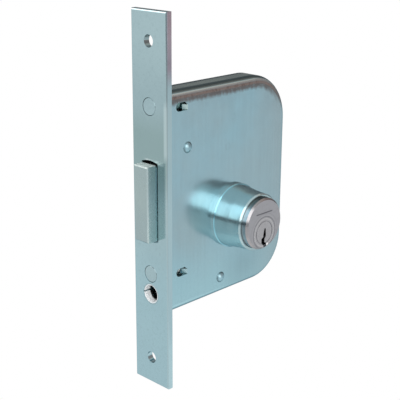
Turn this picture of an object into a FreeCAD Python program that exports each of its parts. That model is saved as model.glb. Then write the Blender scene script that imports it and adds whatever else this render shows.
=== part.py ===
import FreeCAD, Part
import math
import os

from FreeCAD import Vector

# Gate mortise lock, in millimetres.
# The origin is the centre of the forend's front face, midway between its two screw holes.
# +X runs back into the gate, +Z is up, and the key goes in from the -Y side.

# Forend
forend_height = 174.0
forend_width = 22.0
forend_thickness = 3.0
forend_edge_radius = 0.8
screw_end_distance = 13.0
screw_hole_diameter = 5.6

# Case
backset = 48.0
case_height = 103.6
case_rear_length = 37.7
case_thickness = 12.5
sheet_thickness = 1.5
case_upper_corner_radius = 23.2
case_lower_corner_radius = 20.7
tray_bend_radius = 3.6
cover_edge_chamfer = 0.3

# Bolt head, tail and the rivets that join them
bolt_wall_gap = 0.35
bolt_height = 35.0
bolt_centre_z = 2.7
bolt_projection = 5.5
bolt_head_length = 38.5
bolt_edge_chamfer = 0.5
bolt_side_gap = 0.3
bolt_end_gap = 0.2
aperture_rise = 0.9
front_wall_gap = 0.35
aperture_chamfer = 0.45
tail_thickness = 5.0
tail_joint_length = 14.0
tail_front_drop = 4.2
tail_rear_height = 19.4
tail_rear_round = 3.0
tail_rear_wall = 3.6
tail_step_gap = 0.6
bolt_rivet_diameter = 4.0
bolt_rivet_spacing = 17.0

# Rack and pinion: one full turn of the key throws the bolt by the pinion's pitch circumference
gear_module = 0.8
pinion_teeth = 10
pressure_angle = 30.0
addendum_modules = 0.875
dedendum_modules = 1.125
tooth_backlash = 0.12
pinion_collar_length = 0.95

# Guide post of the tail
guide_post_diameter = 6.0
guide_post_ahead = 2.0
guide_post_above_rack = 11.7
guide_slot_gap = 0.2
guide_post_end_gap = 0.2
post_neck_diameter = 4.0

# Studs that carry the forend, and the tongues of the case that are staked into their grooves
stud_head_diameter = 8.0
stud_diameter = 7.0
stud_length = 20.0
upper_stud_below_top = 6.05
lower_stud_above_bottom = 19.85
stud_end_chamfer = 0.25
stud_groove_diameter = 4.8
stud_groove_length = 1.7
tongue_root_x = 17.4
tongue_length = 1.6
tongue_dip = 2.0
tongue_tip_gap = 0.4
tongue_side_gap = 0.1
tongue_top_gap = 1.45
tongue_window_length = 7.2
tongue_window_height = 3.9
tongue_window_drop = 1.1
tongue_window_corner = 1.9

# Rolled bush in the lower part of the forend
bush_above_bottom = 10.05
bush_outer_diameter = 9.8
bush_wall = 0.65
bush_seam = 0.9

# Spacer posts and the brake spring that bears on the tail
upper_spacer_ahead = 1.0
lower_spacer_ahead = 4.2
lower_spacer_above_tail = 16.0
spacer_spacing_z = 13.7
spacer_diameter = 5.0
spacer_neck_diameter = 3.0
spring_strip_thickness = 0.5
spring_strip_width = 5.0
spring_eye_gap = 0.1
spring_eye_turn = 280.0
spring_bend_radius = 3.0
spring_foot_gap = 0.25
spring_foot_length = 3.2

# Case rivets
front_rivet_x = 17.3
front_rivet_above_bolt = 5.5
lower_rivet_ahead = 8.2
lower_rivet_above_bottom = 8.65
rivet_shoulder_diameter = 6.0
rivet_head_diameter = 5.3
rivet_head_height = 1.2
rivet_tail_height = 0.5

# Cylinder: round body, eccentric plug and guard sleeve
cylinder_centre_z = -13.1
plug_drop = 4.2
cylinder_reach = 20.0
body_wall = 1.4
body_bevel_width = 0.9
body_bevel_length = 0.9
spigot_wall = 0.7
sleeve_base_wall = 3.2
sleeve_base_length = 2.2
sleeve_base_chamfer = 0.35
sleeve_root_wall = 2.7
sleeve_waist_wall = 1.75
sleeve_waist_at = 9.5
sleeve_tip_wall = 1.35
sleeve_lip_length = 0.7
sleeve_setback = 3.3
sleeve_mouth_wall = 0.75
sleeve_bore_gap = 0.15

plug_radius = 6.8
plug_flange_step = 0.4
plug_flange_length = 1.0
plug_face_groove_inset = 1.5
plug_face_groove_width = 0.35
plug_face_groove_depth = 0.15
plug_tail_radius = 3.0
tang_radius = 2.1
tang_flat = 1.5
fit_gap = 0.04
seat_gap = 0.05
face_line_height = 5.5
face_line_length = 10.8
face_line_width = 0.3
face_line_depth = 0.15

# Keyway, as seen from the front and measured from the plug's axis
keyway_top = 1.95
keyway_end_wall = 0.2
keyway_profile = (
    (0.15, keyway_top), (0.95, keyway_top), (1.25, -0.85), (1.15, -2.25), (0.35, -3.05), (0.35, -4.75),
    (1.55, -5.75), (1.55, -6.75), (0.9, -7.95), (-0.4, -7.95), (-0.4, -6.45), (-1.85, -4.85),
    (-1.85, -2.85), (-0.65, -2.15), (-0.55, -0.85),
)

# Pin stacks
pin_count = 5
pin_radius = 1.45
pin_web = 0.3
last_pin_wall = 0.2
pin_gap = 0.05
pin_chamber_depth = 8.0
key_pin_lengths = (4.2, 5.0, 3.8, 4.6, 4.0)
key_pin_drop = 0.2
key_pin_point = 0.9
driver_length = 4.6
driver_point = 0.4
strip_thickness = 1.0
strip_side_margin = 0.75
strip_top_margin = 0.45
strip_end_margin = 0.3
spring_wire = 0.32
spring_side_gap = 0.24
spring_turns = 4
spring_steps_per_turn = 14

# Clip behind the plug and the screw on its end
clip_thickness = 0.7
clip_overlap = 0.1
clip_groove_depth = 1.2
clip_groove_gap = 0.05
clip_opening = 5.0
plug_end_beyond_clip = 0.6
pinion_screw_radius = 1.0
pinion_screw_head_radius = 2.6
pinion_screw_head_height = 1.2
pinion_screw_length = 5.0

# Screws that clamp the cylinder to the cover from behind
cylinder_screw_web = 0.5
cylinder_screw_drop = 3.5
cylinder_screw_radius = 1.6
cylinder_screw_head_radius = 3.1
cylinder_screw_head_height = 1.8
cylinder_screw_reach = 9.0
screw_slot_width = 0.9
screw_slot_depth = 0.9

# Places that follow from the sizes above
screw_z = forend_height / 2 - screw_end_distance
case_front = forend_thickness
case_back = backset + case_rear_length
case_top = case_height / 2
case_bottom = -case_height / 2
case_front_inner = case_front + sheet_thickness
near_face = -case_thickness / 2
far_face = case_thickness / 2
near_inner = near_face + sheet_thickness
far_inner = far_face - sheet_thickness
stud_heights = (case_top - upper_stud_below_top, case_bottom + lower_stud_above_bottom)
bush_centre_z = case_bottom + bush_above_bottom
bolt_thickness = far_inner - near_inner - 2 * bolt_wall_gap
bolt_bottom = bolt_centre_z - bolt_height / 2
bolt_top = bolt_centre_z + bolt_height / 2
head_back = bolt_head_length - bolt_projection
plug_z = cylinder_centre_z - plug_drop
cylinder_face = near_face - cylinder_reach
body_radius = plug_drop + plug_radius + body_wall
spigot_radius = plug_radius + spigot_wall
plug_flange_radius = plug_radius + plug_flange_step
sleeve_length = cylinder_reach - sleeve_setback
pitch_radius = gear_module * pinion_teeth / 2
tooth_addendum = gear_module * addendum_modules
tooth_dedendum = gear_module * dedendum_modules
tooth_pitch = math.pi * gear_module
bolt_throw = tooth_pitch * pinion_teeth
rack_pitch_z = plug_z + pitch_radius
rack_tip_z = rack_pitch_z - tooth_addendum
rack_root_z = rack_pitch_z + tooth_dedendum
guide_post_x = backset - guide_post_ahead
guide_post_z = rack_tip_z + guide_post_above_rack
guide_slot_half = guide_post_diameter / 2 + guide_slot_gap
guide_slot_back = guide_post_x + bolt_throw + guide_slot_half
tail_back = guide_slot_back + tail_rear_wall
tail_rear_top = rack_tip_z + tail_rear_height
lower_spacer_z = tail_rear_top + lower_spacer_above_tail
spacer_places = (
    (backset - upper_spacer_ahead, lower_spacer_z + spacer_spacing_z),
    (backset - lower_spacer_ahead, lower_spacer_z),
)
rivet_places = (
    (front_rivet_x, bolt_top + front_rivet_above_bolt),
    (backset - lower_rivet_ahead, case_bottom + lower_rivet_above_bottom),
)
bolt_rivet_places = [
    (head_back - tail_joint_length / 2, bolt_centre_z + side * bolt_rivet_spacing / 2) for side in (1, -1)
]
tongue_tip_x = tongue_root_x - tongue_length
strip_top = cylinder_centre_z + body_radius - strip_top_margin
strip_bottom = strip_top - strip_thickness
driver_top = plug_z + plug_radius + fit_gap + driver_length
spring_radius = pin_radius - spring_side_gap - spring_wire / 2
cylinder_screw_offset = spigot_radius + cylinder_screw_radius + cylinder_screw_web
cylinder_screw_places = [
    (backset + side * cylinder_screw_offset, cylinder_centre_z - cylinder_screw_drop) for side in (1, -1)
]
clip_face = near_inner + clip_groove_gap
clip_radius = spigot_radius + clip_overlap
clip_groove_radius = plug_radius - clip_groove_depth
plug_end = clip_face + clip_thickness + clip_groove_gap + plug_end_beyond_clip
pinion_width = -2 * (plug_end + pinion_collar_length)
pin_pitch = 2 * (pin_radius + pin_gap) + pin_web
last_pin_y = near_face - last_pin_wall - pin_gap - pin_radius
pin_stations = [last_pin_y - pin_pitch * (pin_count - 1 - i) for i in range(pin_count)]


def block(x0, x1, y0, y1, z0, z1):
    return Part.makeBox(x1 - x0, y1 - y0, z1 - z0, Vector(x0, y0, z0))


def rod_y(x, z, radius, y0, y1):
    return Part.makeCylinder(radius, y1 - y0, Vector(x, y0, z), Vector(0, 1, 0))


def rod_x(y, z, radius, x0, x1):
    return Part.makeCylinder(radius, x1 - x0, Vector(x0, y, z), Vector(1, 0, 0))


def rod_z(x, y, radius, z0, z1):
    return Part.makeCylinder(radius, z1 - z0, Vector(x, y, z0))


def polygon_prism(points, y0, y1):
    # points are (x, z) corners of a closed outline
    corners = [Vector(x, y0, z) for x, z in points]
    face = Part.Face(Part.makePolygon(corners + corners[:1]))
    return face.extrude(Vector(0, y1 - y0, 0))


def turned_y(x, z, profile):
    # profile holds (radius, y) corners, and turns round the line through x and z along Y
    corners = [Vector(x + radius, y, z) for radius, y in profile]
    face = Part.Face(Part.makePolygon(corners + corners[:1]))
    return face.revolve(Vector(x, 0, z), Vector(0, 1, 0), 360)


def turned_z(x, y, profile):
    # profile holds (radius, z) corners, and turns round the line through x and y along Z
    corners = [Vector(x + radius, y, z) for radius, z in profile]
    face = Part.Face(Part.makePolygon(corners + corners[:1]))
    return face.revolve(Vector(x, y, 0), Vector(0, 0, 1), 360)


def turned_x(y, z, profile):
    # profile holds (x, radius) corners, and turns round the line through y and z along X
    corners = [Vector(x, y, z + radius) for x, radius in profile]
    face = Part.Face(Part.makePolygon(corners + corners[:1]))
    return face.revolve(Vector(0, y, z), Vector(1, 0, 0), 360)


def domed_head(x, z, radius, height, base_y):
    # a low dome that stands on the plane y = base_y and points towards -Y
    sphere_radius = (radius ** 2 + height ** 2) / (2 * height)
    ball = Part.makeSphere(sphere_radius, Vector(x, base_y - height + sphere_radius, z))
    return ball.common(rod_y(x, z, sphere_radius, base_y - height * 2, base_y))


def case_prism(inset, y0, y1):
    # the case seen from the side: square at the forend and rounded at the two rear corners
    x0 = case_front
    x1 = case_back - inset
    half = case_height / 2 - inset
    upper_radius = case_upper_corner_radius - inset
    lower_radius = case_lower_corner_radius - inset
    upper_diagonal = upper_radius * (1 - math.sqrt(0.5))
    lower_diagonal = lower_radius * (1 - math.sqrt(0.5))
    lower = (
        Vector(x1 - lower_radius, y0, -half),
        Vector(x1 - lower_diagonal, y0, lower_diagonal - half),
        Vector(x1, y0, lower_radius - half),
    )
    upper = (
        Vector(x1, y0, half - upper_radius),
        Vector(x1 - upper_diagonal, y0, half - upper_diagonal),
        Vector(x1 - upper_radius, y0, half),
    )
    front_low = Vector(x0, y0, -half)
    front_high = Vector(x0, y0, half)
    edges = [
        Part.LineSegment(front_low, lower[0]), Part.Arc(*lower), Part.LineSegment(lower[2], upper[0]),
        Part.Arc(*upper), Part.LineSegment(upper[2], front_high), Part.LineSegment(front_high, front_low),
    ]
    wire = Part.Wire([edge.toShape() for edge in edges])
    return Part.Face(wire).extrude(Vector(0, y1 - y0, 0))


def rim_edges(shape, y):
    # the edges of the case's outer outline on the plane y, without the one at the forend
    found = []
    for edge in shape.Edges:
        box = edge.BoundBox
        flat = abs(box.YMin - y) < 0.001 and abs(box.YMax - y) < 0.001
        if flat and box.XMax > case_front + 1:
            found.append(edge)
    return found


def aperture_wire(gap, x):
    # the bolt's opening: straight sides and arched ends
    half = bolt_thickness / 2 + bolt_side_gap + gap
    low = bolt_bottom - bolt_end_gap - gap
    high = bolt_top + bolt_end_gap + gap
    edges = [
        Part.LineSegment(Vector(x, -half, low), Vector(x, -half, high)),
        Part.Arc(Vector(x, -half, high), Vector(x, 0, high + aperture_rise), Vector(x, half, high)),
        Part.LineSegment(Vector(x, half, high), Vector(x, half, low)),
        Part.Arc(Vector(x, half, low), Vector(x, 0, low - aperture_rise), Vector(x, -half, low)),
    ]
    return Part.Wire([edge.toShape() for edge in edges])


def aperture(gap, x0, x1):
    return Part.Face(aperture_wire(gap, x0)).extrude(Vector(x1 - x0, 0, 0))


def aperture_flare():
    # the bevel round the mouth of the opening
    outer = aperture_wire(aperture_chamfer, 0)
    inner = aperture_wire(0, aperture_chamfer)
    return Part.makeLoft([outer, inner], True, True)


def front_edges(shape):
    found = []
    for edge in shape.Edges:
        if abs(edge.BoundBox.XMin) < 0.001 and abs(edge.BoundBox.XMax) < 0.001:
            found.append(edge)
    return found


def make_forend():
    half_width = forend_width / 2
    half_height = forend_height / 2
    back = forend_thickness + 1
    plate = block(0, forend_thickness, -half_width, half_width, -half_height, half_height)
    plate = plate.makeFillet(forend_edge_radius, front_edges(plate))
    plate = plate.cut([aperture(0, -1, back), aperture_flare()])
    for side in (1, -1):
        plate = plate.cut(rod_x(0, side * screw_z, screw_hole_diameter / 2, -1, back))
    for height in stud_heights:
        plate = plate.cut(rod_x(0, height, stud_head_diameter / 2 + seat_gap, -1, back))
    return plate.cut(rod_x(0, bush_centre_z, bush_outer_diameter / 2 + seat_gap, -1, back))


def make_forend_studs():
    head = stud_head_diameter / 2
    radius = stud_diameter / 2
    groove = stud_groove_diameter / 2
    groove_start = tongue_tip_x - tongue_tip_gap
    groove_end = groove_start + stud_groove_length
    profile = [
        (0, 0), (0, head - stud_end_chamfer), (stud_end_chamfer, head), (forend_thickness, head),
        (forend_thickness, radius), (groove_start, radius),
        (groove_start, groove), (groove_end, groove), (groove_end, radius),
        (stud_length, radius), (stud_length, 0),
    ]
    return Part.makeCompound([turned_x(0, height, profile) for height in stud_heights])


def make_front_bush():
    length = forend_thickness + sheet_thickness
    tube = rod_x(0, bush_centre_z, bush_outer_diameter / 2, 0, length)
    tube = tube.cut(rod_x(0, bush_centre_z, bush_outer_diameter / 2 - bush_wall, -1, length + 1))
    seam_low = bush_centre_z - bush_seam / 2
    seam = block(-1, length + 1, 0, bush_outer_diameter, seam_low, seam_low + bush_seam)
    return tube.cut(seam)


def tongue_window(height):
    # the opening that a tongue is pressed in from: round in front, with its upper rear corner cut off
    half = tongue_window_height / 2
    middle = height - tongue_window_drop
    round_x = tongue_root_x - tongue_window_length + half
    low = Vector(round_x, near_face, middle - half)
    front = Vector(round_x - half, near_face, middle)
    high = Vector(round_x, near_face, middle + half)
    corner = Vector(tongue_root_x - tongue_window_corner, near_face, middle + half)
    root_high = Vector(tongue_root_x, near_face, middle + half - tongue_top_gap)
    root_low = Vector(tongue_root_x, near_face, middle - half)
    edges = [
        Part.Arc(low, front, high), Part.LineSegment(high, corner), Part.LineSegment(corner, root_high),
        Part.LineSegment(root_high, root_low), Part.LineSegment(root_low, low),
    ]
    wire = Part.Wire([edge.toShape() for edge in edges])
    return Part.Face(wire).extrude(Vector(0, sheet_thickness, 0))


def tongue_prism(height):
    # a short tongue bent inwards from its root at the rear of its window, with its tip in the stud's groove
    root = tongue_root_x
    tip = tongue_tip_x
    hold = root + sheet_thickness / 2
    outline = [
        (hold, near_face), (root, near_face), (tip, near_face + tongue_dip),
        (tip, near_inner + tongue_dip), (root, near_inner), (hold, near_inner),
    ]
    low = height - tongue_window_drop - tongue_window_height / 2 + tongue_side_gap
    corners = [Vector(x, y, low) for x, y in outline]
    face = Part.Face(Part.makePolygon(corners + corners[:1]))
    return face.extrude(Vector(0, 0, tongue_window_height - tongue_top_gap - tongue_side_gap))


def cut_front_wall(shell):
    x0 = case_front - 1
    x1 = case_front_inner + 1
    shell = shell.cut(aperture(front_wall_gap, x0, x1))
    for height in stud_heights:
        shell = shell.cut(rod_x(0, height, stud_diameter / 2 + seat_gap, x0, x1))
    return shell.cut(rod_x(0, bush_centre_z, bush_outer_diameter / 2 + seat_gap, x0, x1))


def make_case_tray():
    shell = case_prism(0, near_face, far_inner)
    shell = shell.makeFillet(tray_bend_radius, rim_edges(shell, near_face))
    hollow = case_prism(sheet_thickness, near_inner, far_face)
    # a flat that touches the bend's inner radius keeps the wall as thick as the sheet there
    inner_flat = (tray_bend_radius - sheet_thickness) * (2 - math.sqrt(2))
    hollow = hollow.makeChamfer(inner_flat, rim_edges(hollow, near_inner))
    front_wall = block(case_front, case_front_inner, near_face, far_face, -case_height, case_height)
    shell = cut_front_wall(shell.cut(hollow.cut(front_wall)))
    for height in stud_heights:
        shell = shell.cut(tongue_window(height)).fuse(tongue_prism(height))
    shell = shell.removeSplitter()
    shell = cut_pin_holes(shell, rivet_places, post_neck_diameter, near_face, near_inner)
    shell = cut_pin_holes(shell, spacer_places, spacer_neck_diameter, near_face, near_inner)
    shell = shell.cut(rod_y(backset, plug_z, spigot_radius + seat_gap, near_face - 1, near_inner + 1))
    return cut_pin_holes(shell, cylinder_screw_places, cylinder_screw_radius * 2, near_face, near_inner)


def cut_pin_holes(shell, places, diameter, y0, y1):
    for x, z in places:
        shell = shell.cut(rod_y(x, z, diameter / 2 + seat_gap, y0 - 1, y1 + 1))
    return shell


def make_case_cover():
    lid = case_prism(0, far_inner, far_face)
    lid = lid.makeChamfer(cover_edge_chamfer, rim_edges(lid, far_face))
    bush_hole = rod_x(0, bush_centre_z, bush_outer_diameter / 2 + seat_gap, case_front - 1, case_front_inner)
    lid = lid.cut(bush_hole)
    necks = rivet_places + ((guide_post_x, guide_post_z),)
    lid = cut_pin_holes(lid, necks, post_neck_diameter, far_inner, far_face)
    lid = cut_pin_holes(lid, spacer_places, spacer_neck_diameter, far_inner, far_face)
    return cut_pin_holes(lid, cylinder_screw_places, cylinder_screw_radius * 2, far_inner, far_face)


def make_case_rivets():
    rivets = []
    for x, z in rivet_places:
        shoulder = rod_y(x, z, rivet_shoulder_diameter / 2, near_inner, far_inner)
        neck = rod_y(x, z, post_neck_diameter / 2, near_face, far_face)
        head = domed_head(x, z, rivet_head_diameter / 2, rivet_head_height, near_face)
        tail = rod_y(x, z, rivet_head_diameter / 2, far_face, far_face + rivet_tail_height)
        rivets.append(shoulder.fuse([neck, head, tail]).removeSplitter())
    return Part.makeCompound(rivets)


def make_guide_post():
    near_end = near_inner + guide_post_end_gap
    post = rod_y(guide_post_x, guide_post_z, guide_post_diameter / 2, near_end, far_inner)
    neck = rod_y(guide_post_x, guide_post_z, post_neck_diameter / 2, far_inner - 1, far_face)
    return post.fuse(neck).removeSplitter()


def make_spacer_posts():
    posts = []
    for x, z in spacer_places:
        shoulder = rod_y(x, z, spacer_diameter / 2, near_inner, far_inner)
        neck = rod_y(x, z, spacer_neck_diameter / 2, near_face, far_face)
        posts.append(shoulder.fuse(neck).removeSplitter())
    return Part.makeCompound(posts)


def spring_line_x(z):
    # where the strip that runs down beside the two spacer posts, or its straight continuation, is at height z
    (upper_x, upper_z), (lower_x, lower_z) = spacer_places
    length = math.hypot(upper_x - lower_x, upper_z - lower_z)
    offset = (spacer_diameter / 2 + spring_eye_gap + spring_strip_thickness / 2) * length / (upper_z - lower_z)
    return lower_x + offset + (z - lower_z) * (upper_x - lower_x) / (upper_z - lower_z)


def make_brake_spring():
    # a strip rolled round the upper post, that runs past the lower one to a foot on the tail
    (upper_x, upper_z), (lower_x, lower_z) = spacer_places
    eye = spacer_diameter / 2 + spring_eye_gap + spring_strip_thickness / 2
    slope = math.atan2(lower_z - upper_z, lower_x - upper_x)
    along = Vector(math.cos(slope), 0, math.sin(slope))
    aside = Vector(-math.sin(slope), 0, math.cos(slope))
    centre = Vector(upper_x, 0, upper_z)
    leave = centre + aside * eye
    foot_z = tail_rear_top + spring_foot_gap + spring_strip_thickness / 2
    bend_centre_z = foot_z + spring_bend_radius
    bend = leave + aside * spring_bend_radius
    bend = bend + along * ((bend_centre_z - bend.z) / along.z)
    bend_start = bend - aside * spring_bend_radius
    bend_middle = bend + (Vector(0, 0, -1) - aside).normalize() * spring_bend_radius
    foot_start = Vector(bend.x, 0, foot_z)
    foot_end = foot_start + Vector(spring_foot_length, 0, 0)

    def on_eye(turn):
        angle = math.atan2(aside.z, aside.x) + math.radians(turn)
        return centre + Vector(math.cos(angle), 0, math.sin(angle)) * eye

    edges = [
        Part.Arc(on_eye(spring_eye_turn), on_eye(spring_eye_turn / 2), leave),
        Part.LineSegment(leave, bend_start),
        Part.Arc(bend_start, bend_middle, foot_start),
        Part.LineSegment(foot_start, foot_end),
    ]
    wire = Part.Wire([edge.toShape() for edge in edges])
    side = wire.makeOffset2D(spring_strip_thickness / 2, 0, False, True)
    other = wire.makeOffset2D(-spring_strip_thickness / 2, 0, False, True)
    ends = [
        Part.makeLine(side.OrderedVertexes[0].Point, other.OrderedVertexes[0].Point),
        Part.makeLine(side.OrderedVertexes[-1].Point, other.OrderedVertexes[-1].Point),
    ]
    outline = Part.Wire(Part.__sortEdges__(side.Edges + other.Edges + ends))
    strip = Part.Face(outline).extrude(Vector(0, spring_strip_width, 0))
    strip.translate(Vector(0, -spring_strip_width / 2, 0))
    return strip


def make_bolt_head():
    half = bolt_thickness / 2
    head = block(-bolt_projection, head_back, -half, half, bolt_bottom, bolt_top)
    nose = [edge for edge in head.Edges if edge.BoundBox.XMax < seat_gap - bolt_projection]
    head = head.makeChamfer(bolt_edge_chamfer, nose)
    slot_half = tail_thickness / 2 + seat_gap
    slot_start = head_back - tail_joint_length
    slot = block(slot_start, head_back + 1, -slot_half, slot_half, bolt_bottom - 1, bolt_top + 1)
    return cut_pin_holes(head.cut(slot), bolt_rivet_places, bolt_rivet_diameter, -half, half)


def rack_outline():
    # straight-sided teeth along the tail's lower edge, from front to rear
    slope = math.tan(math.radians(pressure_angle))
    half_gap = tooth_pitch / 4 + tooth_backlash / 4
    points = []
    for tooth in range(-1, pinion_teeth + 2):
        middle = backset + tooth * tooth_pitch
        tip_half = half_gap + tooth_addendum * slope
        root_half = half_gap - tooth_dedendum * slope
        points += [
            (middle - tip_half, rack_tip_z), (middle - root_half, rack_root_z),
            (middle + root_half, rack_root_z), (middle + tip_half, rack_tip_z),
        ]
    return points


def is_at(edge, x, z):
    # true for an edge that runs along Y through the point (x, z)
    middle = edge.BoundBox.Center
    return abs(middle.x - x) < seat_gap and abs(middle.z - z) < seat_gap


def make_bolt_tail():
    front = head_back - tail_joint_length + seat_gap
    front_top = bolt_top - tail_front_drop
    rear_top = tail_rear_top
    step = spring_line_x(rear_top) - spring_strip_thickness - tail_step_gap
    outline = [(front, rack_tip_z)] + rack_outline() + [
        (tail_back, rack_tip_z), (tail_back, rear_top), (step, rear_top),
        (head_back, front_top), (front, front_top),
    ]
    half = tail_thickness / 2
    tail = polygon_prism(outline, -half, half)
    corner = [edge for edge in tail.Edges if is_at(edge, tail_back, rear_top)]
    tail = tail.makeFillet(tail_rear_round, corner)
    slot = block(guide_post_x, guide_slot_back - guide_slot_half, -tail_thickness, tail_thickness,
                 guide_post_z - guide_slot_half, guide_post_z + guide_slot_half)
    for x in (guide_post_x, guide_slot_back - guide_slot_half):
        slot = slot.fuse(rod_y(x, guide_post_z, guide_slot_half, -tail_thickness, tail_thickness))
    tail = tail.cut(slot.removeSplitter())
    return cut_pin_holes(tail, bolt_rivet_places, bolt_rivet_diameter, -half, half)


def make_bolt_rivets():
    half = bolt_thickness / 2
    radius = bolt_rivet_diameter / 2
    return Part.makeCompound([rod_y(x, z, radius, -half, half) for x, z in bolt_rivet_places])


def make_guard_sleeve():
    bore = body_radius + sleeve_bore_gap
    base = body_radius + sleeve_base_wall
    base_end = near_face - sleeve_base_length
    end = near_face - sleeve_length
    profile = [
        (bore, near_face), (base, near_face),
        (base, base_end + sleeve_base_chamfer), (base - sleeve_base_chamfer, base_end),
        (body_radius + sleeve_root_wall, base_end),
        (body_radius + sleeve_waist_wall, near_face - sleeve_waist_at),
        (body_radius + sleeve_tip_wall, end + sleeve_lip_length),
        (body_radius + sleeve_mouth_wall, end), (bore, end),
    ]
    return turned_y(backset, cylinder_centre_z, profile)


def strip_block(gap, top):
    half = pin_radius + strip_side_margin + gap
    front = pin_stations[0] - pin_radius - strip_end_margin
    return block(backset - half, backset + half, front - gap, near_face, strip_bottom, top)


def make_cylinder_body():
    bevel_radius = body_radius - body_bevel_width
    body = turned_y(backset, cylinder_centre_z, [
        (0, near_face), (body_radius, near_face), (body_radius, cylinder_face + body_bevel_length),
        (bevel_radius, cylinder_face), (0, cylinder_face),
    ])
    body = body.fuse(rod_y(backset, plug_z, spigot_radius, near_face - 1, near_inner)).removeSplitter()
    body = body.cut(rod_y(backset, plug_z, plug_radius + fit_gap, cylinder_face - 1, near_inner + 1))
    flange_seat = cylinder_face + plug_flange_length
    body = body.cut(rod_y(backset, plug_z, plug_flange_radius + fit_gap, cylinder_face - 1, flange_seat))
    body = body.cut(strip_block(seat_gap, cylinder_centre_z + body_radius))
    for y in pin_stations:
        body = body.cut(rod_z(backset, y, pin_radius + pin_gap, plug_z, strip_bottom + seat_gap))
    screw_end = near_face - cylinder_screw_reach
    body = cut_pin_holes(body, cylinder_screw_places, cylinder_screw_radius * 2, screw_end, near_inner)
    line_z = cylinder_centre_z + face_line_height
    line = block(backset - face_line_length / 2, backset + face_line_length / 2, cylinder_face - 1,
                 cylinder_face + face_line_depth, line_z - face_line_width / 2, line_z + face_line_width / 2)
    return body.cut(line)


def make_cylinder_plug():
    flange_end = cylinder_face + plug_flange_length - seat_gap
    groove_start = clip_face - clip_groove_gap
    groove_end = clip_face + clip_thickness + clip_groove_gap
    profile = [
        (0, cylinder_face), (plug_flange_radius, cylinder_face), (plug_flange_radius, flange_end),
        (plug_radius, flange_end), (plug_radius, groove_start), (clip_groove_radius, groove_start),
        (clip_groove_radius, groove_end), (plug_radius, groove_end), (plug_radius, plug_end),
        (plug_tail_radius, plug_end), (plug_tail_radius, -pinion_width / 2), (0, -pinion_width / 2),
    ]
    plug = turned_y(backset, plug_z, profile)
    tang = rod_y(backset, plug_z, tang_radius, -pinion_width / 2 - 1, pinion_width / 2)
    flats = block(backset - tang_flat, backset + tang_flat, -pinion_width / 2 - 1, pinion_width / 2,
                  plug_z - tang_radius, plug_z + tang_radius)
    plug = plug.fuse(tang.common(flats)).removeSplitter()
    keyway = polygon_prism([(backset + x, plug_z + z) for x, z in keyway_profile],
                           cylinder_face - 1, near_face - keyway_end_wall)
    plug = plug.cut(keyway)
    ring_end = cylinder_face + plug_face_groove_depth
    ring_radius = plug_flange_radius - plug_face_groove_inset
    ring = rod_y(backset, plug_z, ring_radius, cylinder_face - 1, ring_end)
    core_radius = ring_radius - plug_face_groove_width
    plug = plug.cut(ring.cut(rod_y(backset, plug_z, core_radius, cylinder_face - 1, ring_end)))
    chamber_end = plug_z + plug_radius - pin_chamber_depth
    for y in pin_stations:
        plug = plug.cut(rod_z(backset, y, pin_radius + pin_gap, chamber_end, plug_z + plug_radius + 1))
    screw_end = pinion_width / 2 - pinion_screw_length - 1
    return plug.cut(rod_y(backset, plug_z, pinion_screw_radius + seat_gap, screw_end, pinion_width))


def make_key_pins():
    top = plug_z + plug_radius - key_pin_drop
    pins = []
    for y, length in zip(pin_stations, key_pin_lengths):
        low = top - length
        profile = [
            (0, low), (pin_radius / 3, low), (pin_radius, low + key_pin_point), (pin_radius, top), (0, top),
        ]
        pins.append(turned_z(backset, y, profile))
    return Part.makeCompound(pins)


def make_driver_pins():
    low = plug_z + plug_radius + fit_gap
    profile = [
        (0, low), (pin_radius - driver_point / 2, low), (pin_radius, low + driver_point),
        (pin_radius, driver_top), (0, driver_top),
    ]
    return Part.makeCompound([turned_z(backset, y, profile) for y in pin_stations])


def make_pin_springs():
    low = driver_top + spring_wire
    height = strip_bottom - spring_wire - low
    springs = []
    steps = spring_turns * spring_steps_per_turn
    path = []
    for step in range(steps + 1):
        turn = 2 * math.pi * step / spring_steps_per_turn
        path.append(Vector(spring_radius * math.sin(turn), -spring_radius * math.cos(turn), height * step / steps))
    half = spring_wire / 2
    section_corners = ((-half, -half), (half, -half), (half, half), (-half, half))
    corners = [Vector(0, a - spring_radius, b) for a, b in section_corners]
    section = Part.makePolygon(corners + corners[:1])
    for y in pin_stations:
        spring = Part.makePolygon(path).makePipeShell([section], True, True, 1)
        spring.translate(Vector(backset, y, low))
        springs.append(spring)
    return Part.makeCompound(springs)


def make_chamber_strip():
    return strip_block(0, strip_top)


def make_plug_clip():
    ring = rod_y(backset, plug_z, clip_radius, clip_face, clip_face + clip_thickness)
    y0 = clip_face - 1
    y1 = clip_face + clip_thickness + 1
    ring = ring.cut(rod_y(backset, plug_z, clip_groove_radius + seat_gap, y0, y1))
    half = clip_opening / 2
    return ring.cut(block(backset - half, backset + half, y0, y1, plug_z - clip_radius - 1, plug_z))


def involute_point(radius, base_radius, offset):
    # a point of the flank at the given radius, turned back from the tooth's middle line by offset
    roll = math.sqrt((radius / base_radius) ** 2 - 1)
    angle = offset - (roll - math.atan(roll))
    return radius, angle


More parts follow.
